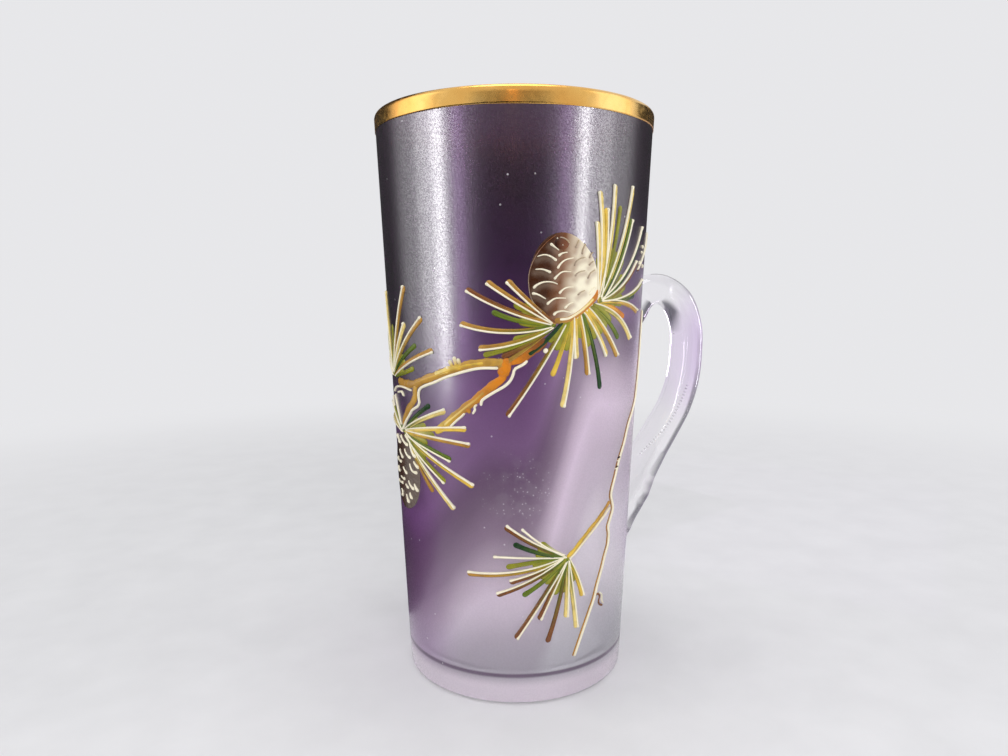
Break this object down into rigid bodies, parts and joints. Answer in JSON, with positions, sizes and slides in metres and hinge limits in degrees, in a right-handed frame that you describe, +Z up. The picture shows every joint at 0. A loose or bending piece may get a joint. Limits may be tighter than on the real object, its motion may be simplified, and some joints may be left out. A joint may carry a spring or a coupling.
{
  "type": "spa drinking glass",
  "caption": "Tall tapered drinking glass with a drawn side handle, a gilt rim and a pine spray in relief enamel.",
  "frame": {"origin": "middle of the foot's underside, on the axis of the glass", "axes": "+Z up along the axis of the glass, +X towards the handle"},
  "size_m": [0.088, 0.0694, 0.1402],
  "materials": {
    "violet_glass": "satin, dark violet at the top fading to pale lilac at the foot",
    "clear_glass": "polished, clear with a few small bubbles",
    "gilding": "bright burnished gilding, slightly worn",
    "bark_enamel": "glossy fired enamel in relief",
    "cream_enamel": "glossy fired enamel in relief",
    "cone_enamel": "glossy fired enamel with raised cream scales",
    "needle_enamel": "glossy fired enamel, green and ochre with cream lines"
  },
  "bodies": {
    "root": {"glass_body": "violet_glass", "handle": "clear_glass", "gilt_rim": "gilding", "pine_bough": "bark_enamel", "hanging_twig": "bark_enamel", "bud_twig": "bark_enamel", "bough_edge_upper": "cream_enamel", "bough_edge_lower": "cream_enamel", "cone_front": "cone_enamel", "cone_side": "cone_enamel", "needles_above_cone": "needle_enamel", "needles_below_cone": "needle_enamel", "needles_left_of_cone": "needle_enamel", "needles_upper_left": "needle_enamel", "needles_lower_left": "needle_enamel", "needles_bottom": "needle_enamel"}
  },
  "joints": []
}
